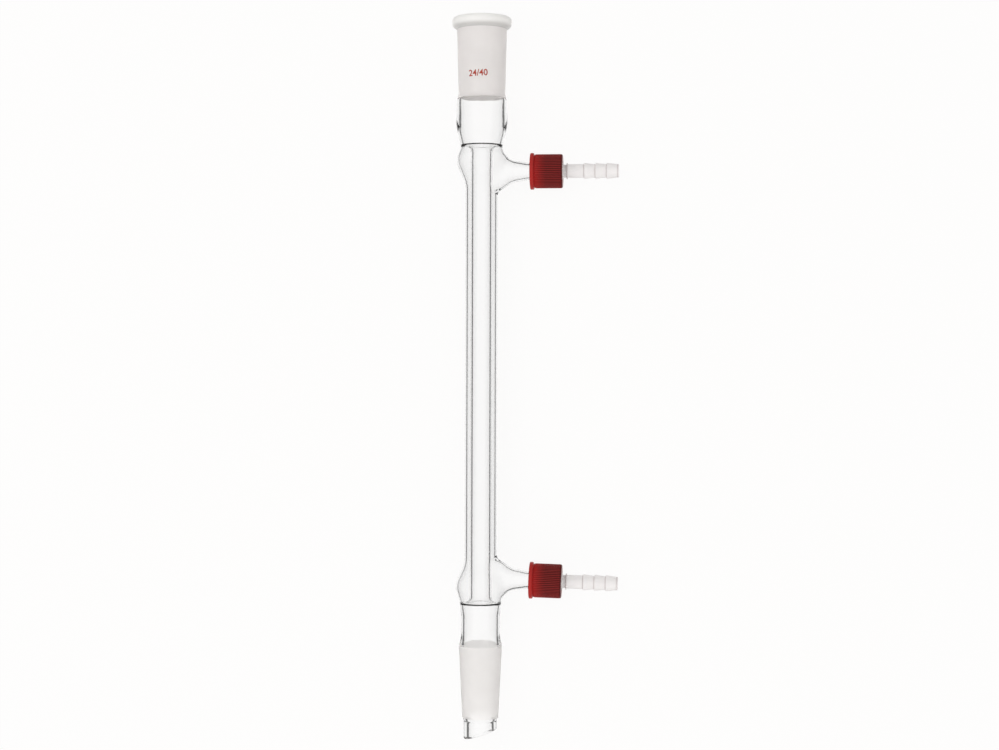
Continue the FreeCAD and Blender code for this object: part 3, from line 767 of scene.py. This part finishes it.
# Glass ground to a matt, faintly ringed surface
def makeGroundGlass(name):
    colour, roughness, transmission, spacing = groundLook["zones"][name]
    sockets = {"Transmission Weight": transmission, "IOR": groundLook["ior"]}
    material, nodes, links, shader = startFinish(name, sockets)
    drawn = drawnPlace(nodes)
    grain = placeGroup(nodes, links, fineGrain, drawn, groundLook["grain"])
    ringValues = {"Spacing": spacing, "Drift": groundLook["ringDrift"]}
    rings = placeGroup(nodes, links, turningLines, drawn, ringValues)
    cloud = mapRange(nodes, links, grain.outputs["Cloud"], *groundLook["cloudRange"])
    darker = tuple(channel * groundLook["cloudShade"] for channel in colour[:3]) + (1,)
    links.new(mixColours(nodes, links, cloud, colour, darker), shader.inputs["Base Color"])
    spread = groundLook["mattSpread"]
    mattRange = (*groundLook["ringRange"], roughness - spread, roughness + spread)
    matt = mapRange(nodes, links, rings.outputs["Lines"], *mattRange)
    links.new(matt, shader.inputs["Roughness"])
    height = doMath(nodes, links, "ADD", grain.outputs["Grain"], rings.outputs["Lines"])
    addBump(nodes, links, height, *groundLook["bump"], shader)
    return material


beadLook = {
    "sockets": {"Transmission Weight": 0.25, "IOR": 1.473},
    "grain": {"Grain Size": 0.8, "Cloud Size": 5.0},
    "colours": ((1.0, 0.99, 0.965, 1), (0.97, 0.955, 0.93, 1)),
    "creaseShadeRange": (394.9, 397.3, 0.75, 0.0),
    "creaseShade": (0.55, 0.535, 0.52, 1),
    "mattRange": (0.3, 0.7, 0.28, 0.42),
    "bump": (0.00003, 0.3),
}


# The fire-finished rim bead, milky over the ground bore under it, with painted shade in the crease under the
# bead
def makeBeadGlass():
    material, nodes, links, shader = startFinish("milky_bead", beadLook["sockets"])
    drawn = drawnPlace(nodes)
    grain = placeGroup(nodes, links, fineGrain, drawn, beadLook["grain"])
    colour = mixColours(nodes, links, grain.outputs["Cloud"], *beadLook["colours"])
    # Painted shade in the crease under the bead
    low = mapRange(nodes, links, splitPlace(nodes, links, drawn)["Z"], *beadLook["creaseShadeRange"])
    links.new(mixColours(nodes, links, low, colour, beadLook["creaseShade"]), shader.inputs["Base Color"])
    matt = mapRange(nodes, links, grain.outputs["Grain"], *beadLook["mattRange"])
    links.new(matt, shader.inputs["Roughness"])
    addBump(nodes, links, grain.outputs["Grain"], *beadLook["bump"], shader)
    return material


redLook = {
    "sockets": {
        "IOR": 1.5, "Specular IOR Level": 0.16, "Sheen Weight": 0.35, "Sheen Roughness": 0.3,
        "Sheen Tint": (1.0, 0.45, 0.4, 1),
    },
    "grain": {"Grain Size": 0.22, "Cloud Size": 6.0},
    "crestRange": (9.2, 9.42, 0.0, 1.0),
    "backlightFadeRange": (27.5, 37.0, 0.0, 1.0),
    "colours": ((0.33, 0.004, 0.003, 1), (0.06, 0.001, 0.001, 1)),
    "paintedCrestHighlight": (0.42, 0.035, 0.03, 1),
    "crestHighlightShare": 0.5,
    "mattRange": (0.3, 0.7, 0.30, 0.42),
    "bump": (0.00002, 0.35),
}


# Moulded red plastic with painted light: bright red at the inboard end as if backlight shone through the thin
# skirt, dark maroon towards the thick outboard end, and painted highlights on the rib crests
def makeRedPlastic():
    material, nodes, links, shader = startFinish("red_plastic", redLook["sockets"])
    drawn = drawnPlace(nodes)
    grain = placeGroup(nodes, links, fineGrain, drawn, redLook["grain"])
    split = splitPlace(nodes, links, drawn)
    flat = nodes.new("ShaderNodeCombineXYZ")
    links.new(split["Y"], flat.inputs["Y"])
    links.new(split["Z"], flat.inputs["Z"])
    away = nodes.new("ShaderNodeVectorMath")
    away.operation = "LENGTH"
    links.new(flat.outputs[0], away.inputs[0])
    crest = mapRange(nodes, links, away.outputs["Value"], *redLook["crestRange"])
    # Painted backlight: bright red inboard fading to dark maroon outboard
    paintedBacklightFade = mapRange(nodes, links, split["X"], *redLook["backlightFadeRange"])
    body = mixColours(nodes, links, paintedBacklightFade, *redLook["colours"])
    # Painted highlight on the rib crests
    paintedCrestHighlight = doMath(nodes, links, "MULTIPLY", crest, redLook["crestHighlightShare"])
    links.new(mixColours(nodes, links, paintedCrestHighlight, body, redLook["paintedCrestHighlight"]), shader.inputs["Base Color"])
    matt = mapRange(nodes, links, grain.outputs["Cloud"], *redLook["mattRange"])
    links.new(matt, shader.inputs["Roughness"])
    addBump(nodes, links, grain.outputs["Grain"], *redLook["bump"], shader)
    return material


tailLook = {
    "sockets": {"Transmission Weight": 0.25, "IOR": 1.49},
    "grain": {"Grain Size": 0.4, "Cloud Size": 5.0},
    "colours": ((1.0, 0.975, 0.965, 1), (0.99, 0.955, 0.945, 1)),
    "barbsRange": (55.5, 56.0, 0.0, 1.0),
    "barbShadeRange": (0.25, 0.75, 1.0, 0.0),
    "disc": 47.5,
    "discShadeRange": (0.2, 0.6, 1.0, 0.0),
    "creaseShadeShare": 0.75,
    "rimShadeRange": (0.55, 0.95, 0.0, 1.0),
    "rimShadeShare": 0.5,
    "paintedShade": (0.62, 0.55, 0.54, 1),
    "mattRange": (0.3, 0.7, 0.30, 0.38),
    "bump": (0.00001, 0.05),
}


# Natural polypropylene: cloudy, nearly clear, with painted shade in its creases and painted shade at its rims
def makeClearPlastic():
    material, nodes, links, shader = startFinish("natural_plastic", tailLook["sockets"])
    drawn = drawnPlace(nodes)
    grain = placeGroup(nodes, links, fineGrain, drawn, tailLook["grain"])
    colour = mixColours(nodes, links, grain.outputs["Cloud"], *tailLook["colours"])
    along = splitPlace(nodes, links, drawn)["X"]
    # Painted shade in the creases at the barb steps and beside the disc
    since = doMath(nodes, links, "SUBTRACT", along, connector["creaseStart"])
    within = doMath(nodes, links, "FLOORED_MODULO", since, connector["barbPitch"])
    onBarbs = mapRange(nodes, links, along, *tailLook["barbsRange"])
    atBarb = mapRange(nodes, links, within, *tailLook["barbShadeRange"])
    barbCreaseShade = doMath(nodes, links, "MULTIPLY", onBarbs, atBarb)
    toDisc = doMath(nodes, links, "ABSOLUTE", doMath(nodes, links, "SUBTRACT", along, tailLook["disc"]), 0)
    atDisc = mapRange(nodes, links, toDisc, *tailLook["discShadeRange"])
    creaseShade = doMath(nodes, links, "MAXIMUM", barbCreaseShade, atDisc)
    # Painted shade at the rims, darker where the surface is seen edge-on
    edge = nodes.new("ShaderNodeLayerWeight")
    edge.inputs["Blend"].default_value = 0.5
    rimShadeMask = mapRange(nodes, links, edge.outputs["Facing"], *tailLook["rimShadeRange"])
    paintedRimShade = doMath(nodes, links, "MULTIPLY", rimShadeMask, tailLook["rimShadeShare"])
    weightedCreaseShade = doMath(nodes, links, "MULTIPLY", creaseShade, tailLook["creaseShadeShare"])
    paintedShade = doMath(nodes, links, "MAXIMUM", weightedCreaseShade, paintedRimShade)
    links.new(mixColours(nodes, links, paintedShade, colour, tailLook["paintedShade"]), shader.inputs["Base Color"])
    matt = mapRange(nodes, links, grain.outputs["Cloud"], *tailLook["mattRange"])
    links.new(matt, shader.inputs["Roughness"])
    addBump(nodes, links, grain.outputs["Grain"], *tailLook["bump"], shader)
    return material


siliconeLook = {
    "sockets": {"IOR": 1.41},
    "grain": {"Grain Size": 0.15, "Cloud Size": 3.0},
    "colours": ((0.80, 0.77, 0.73, 1), (0.70, 0.67, 0.64, 1)),
    "mattFrom": "Cloud",
    "mattRange": (0.3, 0.7, 0.5, 0.65),
    "bump": (0.00003, 0.4),
}

enamelLook = {
    "sockets": {"IOR": 1.45},
    "grain": {"Grain Size": 0.18, "Cloud Size": 1.2},
    "colours": ((0.36, 0.035, 0.02, 1), (0.47, 0.07, 0.04, 1)),
    "mattFrom": "Grain",
    "mattRange": (0.3, 0.7, 0.5, 0.7),
    "bump": (0.00001, 0.3),
}


# Used for the silicone and for the fired enamel, whose thin red comes out a little uneven
def makeCloudyFinish(name, look):
    material, nodes, links, shader = startFinish(name, look["sockets"])
    grain = placeGroup(nodes, links, fineGrain, drawnPlace(nodes), look["grain"])
    colour = mixColours(nodes, links, grain.outputs["Cloud"], *look["colours"])
    links.new(colour, shader.inputs["Base Color"])
    matt = mapRange(nodes, links, grain.outputs[look["mattFrom"]], *look["mattRange"])
    links.new(matt, shader.inputs["Roughness"])
    addBump(nodes, links, grain.outputs["Grain"], *look["bump"], shader)
    return material


clearGlass = makeClearGlass()
groundSocket = makeGroundGlass("ground_socket")
socketWall = makeGroundGlass("socket_wall")
groundCone = makeGroundGlass("ground_cone")
milkyBead = makeBeadGlass()
redPlastic = makeRedPlastic()
milkyPlastic = makeClearPlastic()
silicone = makeCloudyFinish("silicone", siliconeLook)
redEnamel = makeCloudyFinish("red_enamel", enamelLook)

print("glass")
makeGlass([clearGlass, groundSocket, groundCone, milkyBead, socketWall])
armPieces = [
    ("screw_cap", drawCap(), redPlastic, "cap", "red_cap", "cap"),
    (
        "hose_tail", drawTurned(connector["outline"]), milkyPlastic, "connector", "white_plastic",
        "hose_connector",
    ),
    ("silicone_seal", drawTurned(connector["sealOutline"]), silicone, "connector", "silicone", "seal"),
]
for name, drawing, material, body, slot, node in armPieces:
    print(name)
    for arm in ("upper", "lower"):
        piece = newPiece(f"{arm}_{name}", drawing.copy(), armPlaces[arm], [material], f"{arm}_{body}")
        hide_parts(f"{arm}_{node}")
    drawing.free()
print("mark")
makeMark([redEnamel])


# Floor, light and camera

camera = {
    "aside": 10.2,
    "distance": 1028.0,
    "height": 200.6,
    "turn": 5.0,
    "tilt": 3 / 1850,
    "roll": 0.155,
    "lens": 66.67,
}

stage = {
    "paper": (0.9, 0.9, 0.9, 1),
    "paperGlow": (0.99, 0.985, 0.98, 1),
    "glowShare": 0.945,
    "slantStart": 0.10,
    "slantEnd": 0.27,
    "slantDark": 0.16,
    "darkSide": (0.15, 0.13, 0.12, 1),
    "brightTop": (1.0, 1.0, 1.0, 1),
    "diffuseSky": (0.85, 0.85, 0.85, 1),
    "riseStart": 0.30,
    "riseEnd": 0.80,
}


# The studio's white faces and the dark between them lie square to the photograph's line of sight.
towardsCamera = Matrix.Rotation(math.radians(camera["turn"]), 3, "Z") @ Vector((0, -1, 0))
studioAim = glassPlace.to_3x3().normalized() @ towardsCamera


# 1 for a ray turned aside by a reflection in or on clear glass, which may miss the white faces
def lostLight(nodes, links):
    path = nodes.new("ShaderNodeLightPath")
    through = path.outputs["Is Transmission Ray"]
    reflected = doMath(nodes, links, "GREATER_THAN", path.outputs["Glossy Depth"], 0.5)
    clear = doMath(nodes, links, "LESS_THAN", path.outputs["Diffuse Depth"], 0.5)
    sharp = doMath(nodes, links, "MULTIPLY", clear, path.outputs["Is Singular Ray"])
    outside = doMath(nodes, links, "SUBTRACT", path.outputs["Is Glossy Ray"], through)
    glossy = doMath(nodes, links, "MULTIPLY", clear, outside)
    inGlass = doMath(nodes, links, "MULTIPLY", doMath(nodes, links, "MULTIPLY", reflected, sharp), through)
    return path, doMath(nodes, links, "MAXIMUM", inGlass, glossy)


# 1 for a ray that sees the studio's own white: straight from the camera or through glass
def shownWhite(nodes, links, path):
    return doMath(nodes, links, "MAXIMUM", path.outputs["Is Camera Ray"], path.outputs["Is Transmission Ray"])


def makeFloor():
    bm = bmesh.new()
    bmesh.ops.create_grid(bm, x_segments=1, y_segments=1, size=3.0)
    mesh = bpy.data.meshes.new("floor")
    bm.to_mesh(mesh)
    bm.free()
    floor = bpy.data.objects.new("floor", mesh)
    bpy.context.scene.collection.objects.link(floor)
    material, nodes, links = newMaterial("floor_paper")
    output = nodes.new("ShaderNodeOutputMaterial")
    mix = nodes.new("ShaderNodeMixShader")
    paper = nodes.new("ShaderNodeBsdfDiffuse")
    paper.inputs["Color"].default_value = stage["paper"]
    glow = nodes.new("ShaderNodeEmission")
    glow.inputs["Color"].default_value = stage["paperGlow"]
    slant = nodes.new("ShaderNodeLayerWeight")
    slant.inputs["Blend"].default_value = 0.5
    aim = nodes.new("ShaderNodeCombineXYZ")
    for axis, value in zip("XYZ", studioAim):
        aim.inputs[axis].default_value = value
    links.new(aim.outputs[0], slant.inputs["Normal"])
    falling = mapRange(
        nodes, links, slant.outputs["Facing"], stage["slantStart"], stage["slantEnd"],
        0.0, 1 - stage["slantDark"],
    )
    lost = lostLight(nodes, links)[1]
    dimmed = doMath(nodes, links, "MULTIPLY", falling, lost)
    links.new(doMath(nodes, links, "SUBTRACT", 1.0, dimmed), glow.inputs["Strength"])
    share = doMath(nodes, links, "MULTIPLY", lost, 1 - stage["glowShare"])
    links.new(doMath(nodes, links, "ADD", share, stage["glowShare"]), mix.inputs[0])
    links.new(paper.outputs[0], mix.inputs[1])
    links.new(glow.outputs[0], mix.inputs[2])
    links.new(mix.outputs[0], output.inputs["Surface"])
    mesh.materials.append(material)
    return floor


def makeWorld():
    world = bpy.data.worlds.new("studio")
    bpy.context.scene.world = world
    world.use_nodes = True
    nodes = world.node_tree.nodes
    links = world.node_tree.links
    background = nodes["Background"]
    place = nodes.new("ShaderNodeTexCoord")
    height = nodes.new("ShaderNodeVectorMath")
    height.operation = "DOT_PRODUCT"
    height.inputs[1].default_value = studioAim
    links.new(place.outputs["Generated"], height.inputs[0])
    rise = mapRange(nodes, links, height.outputs["Value"], stage["riseStart"], stage["riseEnd"], 0.0, 1.0)
    studio = mixColours(nodes, links, rise, stage["darkSide"], stage["brightTop"])
    path, lost = lostLight(nodes, links)
    white = mixColours(nodes, links, shownWhite(nodes, links, path), stage["diffuseSky"], (1, 1, 1, 1))
    links.new(mixColours(nodes, links, lost, white, studio), background.inputs["Color"])
    background.inputs["Strength"].default_value = 1.0
    return world


def makeCamera():
    data = bpy.data.cameras.new("camera")
    data.sensor_width = 36
    data.lens = camera["lens"]
    data.clip_start = 0.01
    viewer = bpy.data.objects.new("camera", data)
    bpy.context.scene.collection.objects.link(viewer)
    turn = Matrix.Rotation(math.radians(camera["turn"]), 4, "Z")
    place = turn @ Vector((camera["aside"], -camera["distance"], camera["height"]))
    look = turn @ Vector((0, math.cos(camera["tilt"]), math.sin(camera["tilt"])))
    right = turn @ Vector((1, 0, 0))
    up = right.cross(look).normalized()
    roll = math.radians(camera["roll"])
    leanUp = up * math.cos(roll) - right * math.sin(roll)
    leanRight = look.cross(leanUp)
    rotation = Matrix((leanRight, leanUp, -look)).transposed()
    toRow = glassPlace.to_3x3().normalized()
    viewer.matrix_world = (
        Matrix.Translation(glassPlace @ place) @ (toRow @ rotation).to_4x4()
    )
    bpy.context.scene.camera = viewer
    return viewer


def makeLight(name, place, target, size, energy):
    data = bpy.data.lights.new(name, "AREA")
    data.shape = "RECTANGLE"
    data.size, data.size_y = size
    data.energy = energy
    light = bpy.data.objects.new(name, data)
    bpy.context.scene.collection.objects.link(light)
    aim = Vector(target) - Vector(place)
    light.matrix_world = Matrix.Translation(place) @ aim.to_track_quat("-Z", "Y").to_matrix().to_4x4()
    return light


lamps = {  # place, size and power
    "key_light": ((-0.7, 0.3, 1.5), (1.4, 1.4), 6),
    "low_light": ((0.1, -1.3, 0.5), (1.0, 0.5), 4),
}

print("floor, light and camera")
makeFloor()
makeWorld()
makeCamera()
for name, (place, size, power) in lamps.items():
    light = makeLight(name, place, (0, 0, 0), size, power)
    light.visible_glossy = False
    light.visible_transmission = False
bpy.context.scene.view_settings.view_transform = "Standard"
